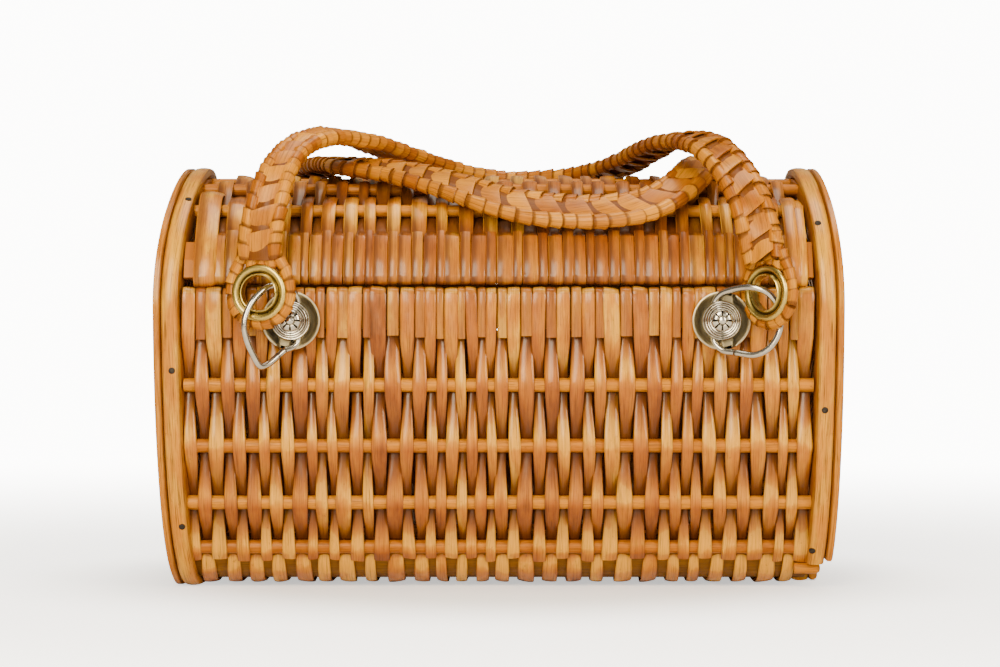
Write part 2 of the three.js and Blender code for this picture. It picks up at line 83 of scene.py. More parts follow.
LOOP, HALF_COUNT = dense_outline()
closed = np.concatenate([LOOP[-1:], LOOP, LOOP[:1]])
tangent = closed[2:] - closed[:-2]
tangent /= np.linalg.norm(tangent, axis=1)[:, None]
NORMAL = np.stack([-tangent[:, 1], tangent[:, 0]], 1)
mid = LOOP - NORMAL * ROD_INSET
step = np.linalg.norm(np.roll(mid, -1, 0) - mid, axis=1)
LENGTH = np.concatenate([[0], np.cumsum(step)])
TOTAL = LENGTH[-1]
LENGTH = LENGTH[:-1]
CROWN = LENGTH[HALF_COUNT - 1]


def at(l, inset):
    """Depth and height at a length along the outline and an inset from it."""
    l = np.mod(l, TOTAL)

    def pick(values):
        return np.interp(l, np.append(LENGTH, TOTAL), np.append(values, values[0]))

    normal = np.stack([pick(NORMAL[:, 0]), pick(NORMAL[:, 1])], -1)
    point = np.stack([pick(LOOP[:, 0]), pick(LOOP[:, 1])], -1)
    return point - normal * np.asarray(inset)[..., None]


def up_front(z):
    """Length along the outline where the front reaches a height."""
    return float(np.interp(z, LOOP[:HALF_COUNT, 1], LENGTH[:HALF_COUNT]))


def up_back(z):
    return 2 * CROWN - up_front(z)


def angle_on_crown(degrees):
    z = WAIST + RISE * math.sin(math.radians(degrees))
    return up_front(z) if degrees <= 90 else up_back(z)


def limit(values):
    return np.clip(values, 0, 1)


def run(path):
    """How far along a path each of its points is."""
    return np.concatenate([[0], np.cumsum(np.linalg.norm(np.diff(path, axis=0), axis=1))])


def around(count):
    """Angles evenly round a circle."""
    return np.arange(count) / count * 2 * np.pi


def add(name, data):
    """Puts a new object in the scene."""
    made = bpy.data.objects.new(name, data)
    bpy.context.scene.collection.objects.link(made)
    return made


# ---- mesh building ----
class Body:
    """Collects swept bands into one mesh, with the grain's coordinates on every vertex."""

    def __init__(self):
        self.points, self.faces, self.grain, self.tone, self.count = [], [], [], [], 0

    def sweep(self, loops, along, across, tone, caps=True, closed_along=False):
        """loops: rows of points round the section. tone: hue (raised on strands' upper facets as a painted
        highlight), a spare value, and dirt with painted shade, per vertex.
        """
        m, k = loops.shape[:2]
        index = self.count + np.arange(m * k).reshape(m, k)
        rows = index if not closed_along else np.concatenate([index, index[:1]])
        a, b = rows[:-1], rows[1:]
        quads = np.stack([a, np.roll(a, -1, 1), np.roll(b, -1, 1), b], -1).reshape(-1, 4)
        self.faces += quads.tolist()
        if caps and not closed_along:
            self.faces += [index[0][::-1].tolist(), index[-1].tolist()]
        self.points.append(loops.reshape(-1, 3))
        grain = np.zeros((m, k, 3))
        grain[..., 0] = across
        grain[..., 1] = np.asarray(along)[:, None]
        grain[..., 2] = np.mean(tone[0]) * 97.0
        self.grain.append(grain.reshape(-1, 3))
        shades = np.empty((m, k, 3))
        for i in range(3):
            shades[..., i] = tone[i]
        self.tone.append(shades.reshape(-1, 3))
        self.count += m * k

    def make(self, name, material, slot, body=None, nodes=(), smooth=35):
        mesh = bpy.data.meshes.new(name)
        mesh.from_pydata((np.concatenate(self.points) / 1000).tolist(), [], self.faces)
        for label, values in (("grain", self.grain), ("tone", self.tone)):
            layer = mesh.attributes.new(label, "FLOAT_VECTOR", "POINT")
            layer.data.foreach_set("vector", np.concatenate(values).astype(np.float32).ravel())
        mesh.materials.append(material)
        mesh.update()
        mesh.shade_smooth()
        mesh.set_sharp_from_angle(angle=math.radians(smooth))
        piece = add(name, mesh)
        if body:
            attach(piece, body)
        if nodes:
            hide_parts(*nodes)
        return piece


# section of a split willow across and out, and how near to its edge each point is
SPLIT = np.array([(-1, -.5), (-.97, .15), (-.8, .6), (-.4, .92), (0, 1), (.4, .92), (.8, .6),
                  (.97, .15), (1, -.5), (.6, -1), (-.6, -1)])
SPLIT_EDGE = limit((np.abs(SPLIT[:, 0]) - 0.86) / 0.14)


def strand(body, path, x, half_width, rng, outward, thickness, dirt_and_shade=0.0, tone=None, twist=0.1, painted_light=0.0):
    """A split willow laid along a path of depth and height, its round side away from the wall."""
    m = len(path)
    turn = twist * np.sin(np.arange(m) / rng.uniform(5, 10) + rng.uniform(0, 6.3))
    turn += rng.uniform(-twist, twist)
    x = np.broadcast_to(np.asarray(x, float), (m,))
    half_width = np.broadcast_to(np.asarray(half_width, float), (m,))
    dirt_and_shade = np.broadcast_to(np.asarray(dirt_and_shade, float), (m,))
    t = np.gradient(path, axis=0)
    t /= np.linalg.norm(t, axis=1)[:, None] + 1e-9
    normal = np.stack([t[:, 1], -t[:, 0]], 1) * outward
    loops = np.empty((m, len(SPLIT), 3))
    crown = thickness / 2 * (0.8 + 0.2 * np.clip(half_width / 3, 0, 1.4))
    loops[..., 0] = x[:, None] + SPLIT[:, 0] * half_width[:, None]
    rise = SPLIT[:, 1] * crown[:, None] + SPLIT[:, 0] * (half_width * turn)[:, None]
    for axis in (0, 1):
        loops[..., axis + 1] = path[:, axis, None] + normal[:, axis, None] * rise
    if outward < 0:
        loops = loops[:, ::-1]
    along = run(path)
    across = (SPLIT if outward > 0 else SPLIT[::-1])[:, 0] * half_width.mean()
    # painted shade: the strand's edges are darkened, as the shade in the gaps between neighbours
    shade = limit(SPLIT_EDGE[None, :] * 0.75 + dirt_and_shade[:, None])
    hue, spare = tone or (rng.random(), rng.random())
    # painted highlight: the hue is raised, lighter and yellower, where light from above would fall
    hue = hue + np.broadcast_to(painted_light, (m,))[:, None]
    body.sweep(loops, along + rng.random() * 500, across[None, :], (hue, spare, shade))


def smooth_path(keys):
    """Length and inset along the outline, eased between keys."""
    ls, insets = [], []
    for (l0, i0), (l1, i1) in zip(keys, keys[1:]):
        n = max(3, int(abs(l1 - l0) / 1.6))
        t = np.arange(n) / n
        ls.append(l0 + (l1 - l0) * t)
        eased = 0.3 * (1 - np.cos(np.pi * t)) / 2 + 0.7 * t
        insets.append(i0 + (i1 - i0) * eased)
    return np.append(np.concatenate(ls), keys[-1][0]), np.append(np.concatenate(insets), keys[-1][1])


def bind_round(l_inner, l_turn, reach, outer=ON_RIM):
    """Up the inner side of a lath, round its edge, and on to the outer side."""
    turn = np.linspace(0, np.pi, 12)
    middle, radius = (outer + IN_RIM) / 2, (IN_RIM - outer) / 2
    sign = 1 if l_turn > l_inner else -1
    l = np.concatenate([np.linspace(l_inner, l_turn, 6)[:-1], l_turn + sign * reach * np.sin(turn)])
    inset = np.concatenate([np.full(5, IN_RIM), middle + radius * np.cos(turn)])
    return l, inset


def wander(rng, l, size):
    """A slow sideways drift of a strand."""
    a, b = rng.uniform(0, 6.3), rng.uniform(0, 6.3)
    return size * (np.sin(l / rng.uniform(17, 26) + a) + 0.6 * np.sin(l / rng.uniform(8, 12) + b))


def layout(rng, low, high, pitch):
    """Places and widths of strands packed side by side."""
    count = round((high - low) / pitch)
    widths = np.array([pitch * rng.uniform(0.78, 1.25) for _ in range(count)])
    widths *= (high - low) / widths.sum()
    return low + np.cumsum(widths) - widths / 2, widths


# ---- materials ----
class Look:
    """A procedural material: it adds nodes to its tree and feeds them to its shader."""

    def __init__(self, name):
        self.material = bpy.data.materials.new(name)
        self.material.use_nodes = True
        self.tree = self.material.node_tree
        self.shader = self.tree.nodes["Principled BSDF"].inputs

    def feed(self, socket, value):
        if isinstance(value, bpy.types.NodeSocket):
            self.tree.links.new(value, socket)
        else:
            socket.default_value = value

    def surface(self, inputs):
        for name, value in inputs.items():
            self.feed(self.shader[name], value)

    def node(self, kind, output, inputs=None, **settings):
        made = self.tree.nodes.new("ShaderNode" + kind)
        for key, value in settings.items():
            setattr(made, key, value)
        for key, value in (inputs or {}).items():
            self.feed(made.inputs[key], value)
        return made.outputs[output]

    def math(self, operation, a, b, clamp=False):
        return self.node("Math", 0, {0: a, 1: b}, operation=operation, use_clamp=clamp)

    def mix(self, factor, a, b, kind="MIX"):
        return self.node("Mix", 2, {0: factor, 6: a, 7: b}, data_type="RGBA", blend_type=kind)

    def noise(self, vector, scale, detail, roughness):
        return self.node("TexNoise", "Fac", {"Vector": vector, "Scale": scale, "Detail": detail,
                                             "Roughness": roughness})

    def attribute(self, name):
        return self.node("Attribute", "Vector", attribute_name=name)

    def part(self, vector, axis):
        return self.node("SeparateXYZ", axis, {"Vector": vector})

    def between(self, value, low, high):
        return self.node("MapRange", 0, {"Value": value, "To Min": low, "To Max": high})

    def ramp(self, source, stops):
        made = self.tree.nodes.new("ShaderNodeValToRGB")
        self.feed(made.inputs["Fac"], source)
        elements = made.color_ramp.elements
        while len(elements) < len(stops):
            elements.new(0.5)
        for element, (place, colour) in zip(elements, stops):
            element.position = place
            element.color = (*colour, 1)
        return made.outputs["Color"]


def grey(v):
    return (v, v, v)


def willow(name, stops, freckles=0.5, roughness=(0.25, 0.45), coat=0.5, streak=1.0):
    """Varnished split willow: streaks along the grain, freckles, and dirt with painted shade in the creases.
    """
    look = Look(name)
    grain, tone = look.attribute("grain"), look.attribute("tone")
    dirt_and_shade = look.part(tone, "Z")

    def noise(stretch, detail, rough):
        return look.noise(look.node("Mapping", 0, {"Vector": grain, "Scale": stretch}), 1.0, detail, rough)

    fibres = noise((2.6, 0.07, 1), 4.0, 0.6)
    blotch = noise((0.16, 0.05, 1), 3.0, 0.55)
    spots = noise((1.1, 0.5, 1), 2.0, 0.5)
    hue = look.math("ADD", look.math("MULTIPLY", look.part(tone, "X"), 0.5),
                    look.math("MULTIPLY", blotch, 0.95))
    streaks = look.ramp(fibres, ((0.30, grey(1 - 0.62 * streak)), (0.47, grey(1 - 0.12 * streak)),
                                 (0.6, grey(1.0)), (0.8, grey(1.0 + 0.14 * streak))))
    colour = look.mix(1.0, look.ramp(hue, stops), streaks, "MULTIPLY")
    freckled = look.ramp(spots, ((0.66, grey(0.0)), (0.76, grey(freckles))))
    colour = look.mix(freckled, colour, (0.16, 0.045, 0.008, 1))
    # painted shade: the tone's third value darkens the willow towards near black in creases, gaps and where
    # strands dip behind rods, with some dirt
    colour = look.mix(look.math("MULTIPLY", dirt_and_shade, 0.9), colour, (0.075, 0.018, 0.004, 1))
    dull = look.math("MULTIPLY", dirt_and_shade, 0.45)
    rough = look.math("ADD", look.between(fibres, roughness[1], roughness[0]), dull, clamp=True)
    bumps = look.node("Bump", "Normal", {"Height": fibres, "Strength": 0.25, "Distance": 0.0004})
    look.surface({"Base Color": colour, "Roughness": rough, "Normal": bumps, "Coat Weight": coat,
                  "Coat Roughness": 0.19, "Specular IOR Level": 0.45, "Specular Tint": (1.0, 0.66, 0.30, 1)})
    return look.material


# the willow's colours by hue; the top stops also give the painted highlight on the strands' upper facets
HONEY = ((0.14, (0.10, 0.018, 0.0)), (0.36, (0.22, 0.046, 0.0)), (0.56, (0.36, 0.090, 0.0)),
         (0.78, (0.48, 0.150, 0.0)), (0.92, (0.59, 0.220, 0.001)), (1.00, (0.72, 0.33, 0.010)))
woven = willow("split_willow", HONEY)
rods = willow("round_willow", ((0.2, (0.23, 0.052, 0.0)), (0.6, (0.41, 0.120, 0.0)),
                               (0.9, (0.54, 0.190, 0.0))), freckles=0.7, roughness=(0.34, 0.55), coat=0.06)
cane = willow("hoop_cane", ((0.15, (0.26, 0.062, 0.0)), (0.5, (0.42, 0.122, 0.0)),
                            (0.8, (0.54, 0.19, 0.001)), (1.0, (0.70, 0.33, 0.01))),
              freckles=0.5, roughness=(0.24, 0.40), coat=0.3, streak=1.35)
plait = willow("plait_splint", ((0.15, (0.17, 0.035, 0.0)), (0.45, (0.32, 0.083, 0.0)),
                                (0.75, (0.47, 0.155, 0.0)), (1.0, (0.64, 0.25, 0.003))),
               freckles=0.4, roughness=(0.27, 0.44), coat=0.15, streak=1.1)
olive = willow("plain_lath", ((0.2, (0.10, 0.032, 0.001)), (0.6, (0.18, 0.068, 0.002)),
                              (0.9, (0.26, 0.11, 0.006))), freckles=0.6, roughness=(0.5, 0.7), coat=0.1)


def metal(name, colour, dirt_and_shade, roughness):
    """Polished metal with grime in its grooves."""
    look = Look(name)
    smears = look.noise(look.node("TexCoord", "Object"), 420.0, 5.0, 0.7)
    film = look.ramp(smears, ((0.42, grey(0.0)), (0.75, grey(0.35))))
    base = look.mix(film, (*colour, 1), (*dirt_and_shade, 1))
    groove = [c * 0.35 for c in dirt_and_shade]
    grimy = look.mix(look.part(look.attribute("tone"), "Z"), base, (*groove, 1))
    rough = look.between(smears, roughness * 0.7, roughness * 2.2)
    look.surface({"Base Color": grimy, "Roughness": rough, "Metallic": 1.0})
    return look.material


steel = metal("worn_steel", (0.56, 0.53, 0.47), (0.22, 0.18, 0.11), 0.13)
brass = metal("old_brass", (0.62, 0.46, 0.12), (0.20, 0.12, 0.02), 0.2)
pressed = metal("pressed_cup", (0.50, 0.43, 0.28), (0.26, 0.20, 0.09), 0.28)
iron = metal("nail_iron", (0.07, 0.06, 0.05), (0.03, 0.02, 0.015), 0.5)


# ---- the weave ----
def weave_keys(rod_places, first_over, start, end):
    """Insets over and under a row of rods, between a start key and an end key."""
    keys = [start]
    for i, place in enumerate(rod_places):
        keys.append((place, OVER if (i % 2 == 0) == first_over else UNDER))
    return keys + [end]


def creased(inset, least, most):
    """Dirt and painted shade on a strand bound round a rim: most of it where the strand turns."""
    return least + limit(1 - np.abs(inset - 5.6) / 3.2) * most


def placer(side):
    """Turns a length up the front into the same one up the given side."""
    def place(l):
        return l if side == "front" else 2 * CROWN - l
    return place


def lay(body, keys, x, width, rng, outward, bound=None, tone=None):
    """One strand over and under the rods, narrower where it dips between its neighbours."""
    l, inset = smooth_path(keys)
    if bound is not None:
        l, inset = np.concatenate([bound[0], l]), np.concatenate([bound[1], inset])
    depth = limit((inset - 3.6) / 7.0)
    narrower = rng.uniform(0.2, 0.36) if outward > 0 else 0.05
    half = width / 2 * (1 - narrower * limit(depth * 1.4))
    if bound is not None:
        half[:len(bound[0])] = width / 2 * 0.97
    # painted shade: darker the deeper the strand dips behind the rods
    dirt_and_shade = limit((inset - 4.9) / 4.6) * 0.95
    thickness = np.full(len(l), STRAND_THICK)
    if bound is not None:
        n = len(bound[0])
        dirt_and_shade[:n] = creased(inset[:n], 0.26, 0.35)
        thickness[:n + 6] = BINDING_THICK
    # painted highlight: the upper facet of each strand, rising towards the rod in front of it, is lit as if
    # by a lamp above; everything else is made a little darker
    rising = np.convolve(limit(-np.gradient(inset) * 1.6), np.ones(3) / 3, "same")
    painted_light = rising * limit((7.6 - inset) / 2.5) - 0.14
    strand(body, at(l, inset), x + wander(rng, l, 0.34), half, rng, outward, thickness, dirt_and_shade, tone, painted_light=painted_light)


def cut_piece(body, bound, end, x, width, rng, outward):
    """A strand bound round a rim and cut off flush at its edge."""
    l_end = bound[0][-1]
    n = max(5, int(abs(end - l_end) / 1.8))
    l = np.concatenate([bound[0], np.linspace(l_end, end, n)[1:]])
    inset = np.concatenate([bound[1], np.linspace(ON_RIM, CUT_END, n)[1:]])
    # dirt and painted shade where the strand turns round the rim
    rolled = creased(inset, 0.26, 0.6)
    strand(body, at(l, inset), x + wander(rng, l, 0.08), width / 2 * 0.97, rng, outward, BINDING_THICK,
           rolled, twist=0.04)


# for each side: which way its strands face, how much wider they are, and how their bindings turn
SIDES = {"front": (1, 1.0, 3.1, ON_RIM), "back": (-1, 1.12, 2.5, 3.5)}


def body_weave():
    """Strands side by side on both walls; every second one is bound round the rim."""
    rng = random.Random(11)
    places, widths = layout(rng, -135.6, 135.6, STRAND_PITCH)
    wall, rims = {"front": Body(), "back": Body()}, {"front": Body(), "back": Body()}
    base = Body()
    rod_l = [up_front(z) for z in BODY_RODS]
    turn, inner = up_front(RIM_TOP), up_front(RIM_INSIDE)
    for i, (x, width) in enumerate(zip(places, widths)):
        even = i % 2 == 0
        rim_width = width * (WIDE if even else SLIM)
        for side, (outward, snug, reach, outer) in SIDES.items():
            place = placer(side)
            reach += rng.uniform(-0.3, 0.3)
            bound = bind_round(place(inner + rng.uniform(-2, 2)), place(turn), reach, outer)
            jitter = rng.uniform(-1.1, 0.9)
            shift = x + rng.uniform(-0.25, 0.25)
            tone = (rng.random(), rng.random())
            rods_here = [place(l) for l in rod_l]
            if even:
                start = (place(up_front(RIM_FOOT)), ON_RIM)
                end = (place(up_front(9.8 + jitter)), 4.5)
                keys = [(bound[0][-1], ON_RIM), *weave_keys(rods_here, False, start, end)]
                lay(wall[side], keys, shift, rim_width * snug, rng, outward, bound, tone)
            else:
                cut_l = place(up_front(RIM_BUTTS + jitter))
                cut_piece(rims[side], bound, cut_l, shift, rim_width, rng, outward)
                start = (place(up_front(RIM_FOOT + 1)), BURIED)
                keys = weave_keys(rods_here, True, start, (place(up_front(9.6)), 5.4))
                keys += [(place(up_front(4.5)), 3.6), (place(-1.0), 2.0), (place(-8.0), 1.3),
                         (place(-26.0), 1.8)]
                lay(wall[side], keys, x + rng.uniform(-0.2, 0.2), width * 1.24 * snug, rng, outward,
                    tone=(rng.random(), rng.random()))
        if even:
            keys = [(up_front(5.0), 7.8), (-14.0, 4.0), (-34.0, 9.6), (-54.0, 4.0),
                    (-68.0 - up_front(5.0), 7.8)]
        else:
            keys = [(-24.0, 4.1), (-34.0, 4.1), (-44.0, 4.1)]
        lay(base, keys, x, width * 1.12, rng, 1)
    for side, made in wall.items():
        made.make(f"{side}_weave_strands", woven, "woven_willow", "root", [f"{side}_weave"])
    for side, made in rims.items():
        made.make(f"{side}_rim_strands", woven, "woven_willow", "root", [f"{side}_rim_binding"])
    base.make("base_weave_strands", woven, "woven_willow", "root", ["base_weave"])


def lid_weave():
    """Strands over the lid's rods, bound round its front and back edges, and strips at its ends."""
    rng = random.Random(23)
    places, widths = layout(rng, -125.0, 127.0, STRAND_PITCH)
    weave, front, back = Body(), Body(), Body()
    rod_l = [angle_on_crown(a) for a in LID_ROD_ANGLES]
    f_turn, f_inner, f_top = up_front(LID_EDGE), up_front(LID_INSIDE), up_front(LID_BAND_TOP)
    b_turn, b_inner, b_top = up_back(LID_BACK_EDGE), up_back(LID_INSIDE), up_back(LID_BAND_TOP)
    for i, (x, width) in enumerate(zip(places, widths)):
        even = i % 2 == 0
        rim_width = width * (WIDE if even else SLIM)
        shift = x + rng.uniform(-0.2, 0.2)
        front_bound = bind_round(f_inner, f_turn, 3.1)
        back_bound = bind_round(b_inner, b_turn, 3.1)
        if even:
            keys = [(front_bound[0][-1], ON_RIM), (f_top - 2.2, ON_RIM)]
            keys += weave_keys(rod_l, False, (f_top + 3.2, 7.6), (b_top - 3.2, 7.6))
            keys.append((b_top + 2.2, ON_RIM))
            l, inset = smooth_path(keys)
            l = np.concatenate([front_bound[0], l, [b_turn - 1], back_bound[0][::-1]])
            inset = np.concatenate([front_bound[1], inset, [ON_RIM], back_bound[1][::-1]])
            depth = limit((inset - 3.6) / 7.0)
            inside = (l > f_top) & (l < b_top)
            half = rim_width / 2 * np.where(inside, 1 - 0.2 * depth, 0.97)
            # painted shade: darker where strands dip behind the lid's rods, and dirt with painted shade where
            # their bindings turn
            rolled = creased(inset, 0.1, 0.6)
            dirt_and_shade = np.where(inside, limit((inset - 3.9) / 3.4) * 0.95, rolled)
            thickness = np.where(inside, STRAND_THICK, BINDING_THICK)
            strand(weave, at(l, inset), shift + wander(rng, l, 0.15), half, rng, -1, thickness, dirt_and_shade,
                   twist=0.05)
        else:
            cut_piece(front, front_bound, f_top + rng.uniform(-0.8, 0.8), shift, rim_width, rng, -1)
            cut_piece(back, back_bound, b_top + rng.uniform(-0.8, 0.8), shift, rim_width, rng, 1)
            keys = weave_keys(rod_l, True, (f_top - 3.0, BURIED), (b_top + 3.0, BURIED))
            lay(weave, keys, x, width * 1.2, rng, -1)
    for x, half, top in ((-126.6, 5.0, 172.5), (127.2, 3.3, 168.0), (130.6, 2.6, 166.0)):
        for made, inner, edge, end, lift, outward, hue in (
                (front, f_inner, f_turn, up_front(top), 2.6, -1, 0.75),
                (back, b_inner, b_turn, up_back(top), 2.8, 1, 0.7)):
            l, inset = bind_round(inner, edge, 3.6, outer=2.9)
            l = np.concatenate([l, np.linspace(l[-1], end, 22)[1:]])
            inset = np.concatenate([inset, np.full(21, lift)])
            if made is front:
                l = np.append(l, end + np.array([2.5, 6, 10, 14]))
                inset = np.append(inset, [2.4, 3.0, 4.4, 6.0])
            strand(made, at(l, inset), x, half, rng, outward, thickness=1.8, tone=(hue, 0.4))
    weave.make("lid_weave_strands", woven, "woven_willow", "lid", ["lid_weave"])
    front.make("lid_front_band_strands", woven, "woven_willow", "lid", ["lid_front_binding"])
    back.make("lid_back_band_strands", woven, "woven_willow", "lid", ["lid_back_binding"])


def tube(x, y, z, size, k):
    """Round sections along the basket."""
    loops = np.empty((len(x), k, 3))
    loops[..., 0] = x[:, None]
    loops[..., 1] = np.broadcast_to(y, len(x))[:, None] + size[:, None] * np.cos(around(k))
    loops[..., 2] = z + size[:, None] * np.sin(around(k))
    return loops


def rod(name, node, l, inset, half_length, rng, body, radius=ROD_RADIUS):
    """A whole willow rod along the basket: slightly crooked, with a few knots."""
    made = Body()
    m, k = 90, 16
    x = np.linspace(-half_length, half_length, m)
    y, z = at(l, inset)
    knots = [rng.uniform(-half_length, half_length) for _ in range(3)]
    swell = sum(0.05 * np.exp(-((x - knot) / 1.8) ** 2) for knot in knots)
    size = radius * (1 + swell + 0.02 * np.sin(x / 11 + rng.uniform(0, 6)))
    sway = 0.18 * np.sin(x / 37 + rng.uniform(0, 6))
    across = (around(k) * radius)[None, :]
    made.sweep(tube(x, y + sway, z, size, k), x, across, (rng.random(), rng.random(), 0.0))
    made.make(name, rods, "pale_willow", body, [node] if node else ())


def all_rods():
    """The round rods of both walls, the lid and the base."""
    rng = random.Random(5)
    for side, place in (("front", up_front), ("back", up_back)):
        for i, z in enumerate(BODY_RODS):
            rod(f"{side}_round_rod_{i + 1}", f"{side}_rod_{i + 1}", place(z), ROD_INSET, BODY_HALF, rng,
                "root", BODY_ROD)
    for i, angle in enumerate(LID_ROD_ANGLES):
        rod(f"lid_round_rod_{i + 1}", f"lid_rod_{i + 1}", angle_on_crown(angle), ROD_INSET, LID_HALF, rng,
            "lid")
    for i, l in enumerate((-14, -34, -54)):
        rod(f"base_round_rod_{i + 1}", None, l, 6.8 if i == 1 else ROD_INSET, BODY_HALF, rng,
            "root", BASE_ROD)


def lath(name, low, high, insets, side, rng, tilt=0.0):
    """A plain flat lath along the basket, behind the lowest strands."""
    made = Body()
    place = placer(side)
    edge = np.linspace(low, high, 10)
    deeper = np.linspace(-tilt, tilt, 10)
    outer = at(np.array([place(l) for l in edge]), insets[0] + deeper)
    inner = at(np.array([place(l) for l in edge[::-1]]), insets[1] + deeper[::-1])
    section = np.concatenate([outer, inner])
    x = np.linspace(-BODY_HALF, BODY_HALF, 60)
    loops = np.empty((60, 20, 3))
    loops[..., 0] = x[:, None]
    loops[..., 1:] = section[None]
    if side == "back":
        loops = loops[:, ::-1]
    across = np.concatenate([edge, edge[::-1] + 20])[None, :] - low
    made.sweep(loops, x, across, (rng.random(), 0.5, 0.0))
    made.make(name, olive, "pale_willow", "root")


# ---- hoops and end panels ----
def bow(y, side):
    """How far the end hoops lean inward above and below, and bulge at the front and back."""
    near = (np.asarray(y) / HALF_DEPTH) ** 2
    lean = -HOOP_LEAN[1] if side > 0 else HOOP_LEAN[0]
    return lean * (1 - near) + math.copysign(HOOP_BULGE, side) * near


def hoop(name, node, section, material, slot, spare, hue, cut=None):
    """A cane bent all round the outline. section: distances from the middle plane, and insets.

    cut: the height where the right one is cut off, low at the front.
    """
    section = np.array(section, float)
    for sign, end in ((-1, "left"), (1, "right")):
        open_ended = cut is not None and sign > 0
        stations = np.arange(up_front(cut), TOTAL - 20, 2.4) if open_ended else np.arange(0, TOTAL, 2.4)
        yz = np.stack([at(stations, inset) for inset in section[:, 1]], 1)
        made = Body()
        loops = np.empty((len(stations), len(section), 3))
        loops[..., 0] = sign * section[:, 0] + bow(yz[:, :, 0], sign)
        loops[..., 1:] = yz
        turned = loops if sign > 0 else loops[:, ::-1]
        across = section[:, 0] if sign > 0 else section[::-1, 0]
        # painted shade: every face but the outer one is darkened, as the shade along the cane's sides
        edge = np.where(section[:, 1] > section[:, 1].min() + 0.5, 0.55, 0.0)
        edge = edge if sign > 0 else edge[::-1]
        made.sweep(turned, stations, across[None, :], (hue, spare, edge[None, :]),
                   closed_along=not open_ended)
        made.make(f"{name}_{end}", material, slot, "root", [f"{node}_{end}"])


def rounded(x0, x1, i0, i1, bulge, c):
    """A section with corners of radius c, its outer face bulging a little."""
    mid_x = (x0 + x1) / 2
    return [(x0, i1 - c), (x0, i0 + c), (x0 + c * .3, i0 + c * .3), (x0 + c, i0), (mid_x - 1, i0 - bulge),
            (mid_x + 1, i0 - bulge), (x1 - c, i0), (x1 - c * .3, i0 + c * .3), (x1, i0 + c), (x1, i1 - c),
            (x1 - c, i1), (x0 + c, i1)]


def hoops():
    """At each end a frame hoop, the cane nailed over it and the cane along its outer edge."""
    hoop("cane_cover_band", "cover_band", rounded(136.5, 144, 0.3, 4.5, 0.3, 1.2), cane, "cane_band",
         0.3, 0.75, 10.6)
    hoop("cane_frame_hoop", "frame_hoop", rounded(136.8, 143.4, 4.8, 11.8, 0.0, 1.6), rods, "frame_willow",
         0.6, 0.3)
    hoop("cane_edge_hoop", "edge_hoop", rounded(144.3, 147.9, 0.5, 6.8, 0.1, 1.7), cane, "cane_band",
         0.5, 0.45, 12.0)


FIRST_LEVEL, LEVEL_STEP, UPRIGHTS, PANEL_X = 24, 23, 27, 139.6


def end_panel(end, sign):
    """Upright strands woven over and under level rods, flat inside the end hoop."""
    rng = random.Random(31 + sign)
    made = Body()
    ring = at(np.linspace(0, TOTAL, 600), 11.2)

    def span(y):
        crossing = ring[np.abs(ring[:, 0] - y) < 0.8]
        return crossing[:, 1].min(), crossing[:, 1].max()

    levels = [FIRST_LEVEL + LEVEL_STEP * i for i in range(7)]
    for i in range(UPRIGHTS):
        y = (i - (UPRIGHTS - 1) / 2) * 5.1
        low, high = span(y)
        z = np.arange(low, high, 2.0)
        phase = np.cos(np.pi * (z - FIRST_LEVEL) / LEVEL_STEP) * (1 if i % 2 else -1)
        x = sign * (PANEL_X + 2.6 * phase)
        half = 3.05 * (1 - 0.14 * (1 - phase) / 2)
        loops = np.empty((len(z), len(SPLIT), 3))
        drift = wander(rng, z, 0.15)
        loops[..., 1] = (y + drift)[:, None] + sign * SPLIT[:, 0] * half[:, None]
        loops[..., 0] = x[:, None] + sign * SPLIT[:, 1] * 0.6
        loops[..., 2] = z[:, None]
        # painted shade: darker where an upright passes behind a level rod, and at its edges
        dirt_and_shade = limit(-phase)[:, None] * 0.5 + SPLIT_EDGE[None] * 0.5
        made.sweep(loops[:, ::-1], z, SPLIT[None, ::-1, 0] * 2.7,
                   (rng.random(), rng.random(), limit(dirt_and_shade)))
    for level in levels:
        across = ring[np.abs(ring[:, 1] - level) < 0.9]
        y = np.linspace(across[:, 0].min(), across[:, 0].max(), 40)
        angle = around(10)
        loops = np.empty((40, 10, 3))
        loops[..., 1] = y[:, None]
        loops[..., 0] = sign * PANEL_X + 1.7 * np.cos(angle)
        loops[..., 2] = level + 1.7 * np.sin(angle)
        made.sweep(loops[:, ::-1], y, (angle * 1.7)[None, :], (rng.random(), rng.random(), 0.0))
    made.make(f"end_panel_weave_{end}", woven, "woven_willow", "root", [f"end_panel_{end}"])


def nails():
    """Small flat nail heads through the canes, and the round end of a stick low at the right."""
    heads = Body()
    for x, z in ((-138.8, 171), (-139.5, 96), (-138.9, 28), (139.0, 160), (139.6, 79), (138.0, 17)):
        l = up_front(z)
        centre = at(l, 0.2)
        out = at(l, -1.0) - centre
        out = np.array([0, *out]) / np.linalg.norm(out)
        side = np.array([1.0, 0, 0])
        up = np.cross(out, side)
        angle = around(14)
        loops = []
        for radius, rise in ((1.5, -0.6), (1.45, 0.2), (1.1, 0.4), (0.3, 0.45)):
            ring = (side * np.cos(angle)[:, None] + up * np.sin(angle)[:, None]) * radius
            loops.append(np.array([x + bow(centre[0], x), *centre]) + ring + out * rise)
        heads.sweep(np.array(loops), np.arange(4), angle[None, :], (0.5, 0.5, 0.2))
    heads.make("cane_nails", iron, "bright_metal", "root")
    stick = Body()
    x = np.array([130, 132, 139.4, 140.5, 141.2, 141.4])
    size = np.array([2.4, 2.4, 2.4, 2.1, 1.4, 0.3])
    y, z = at(up_front(7.0), 2.4)
    dirt_and_shade = np.array([0, 0, 0, 0.2, 0.6, 0.6])[:, None]
    stick.sweep(tube(x, y, z, size, 18), x, (around(18) * 3.3)[None, :], (0.7, 0.5, dirt_and_shade))
    stick.make("stick_end", rods, "pale_willow", "root")


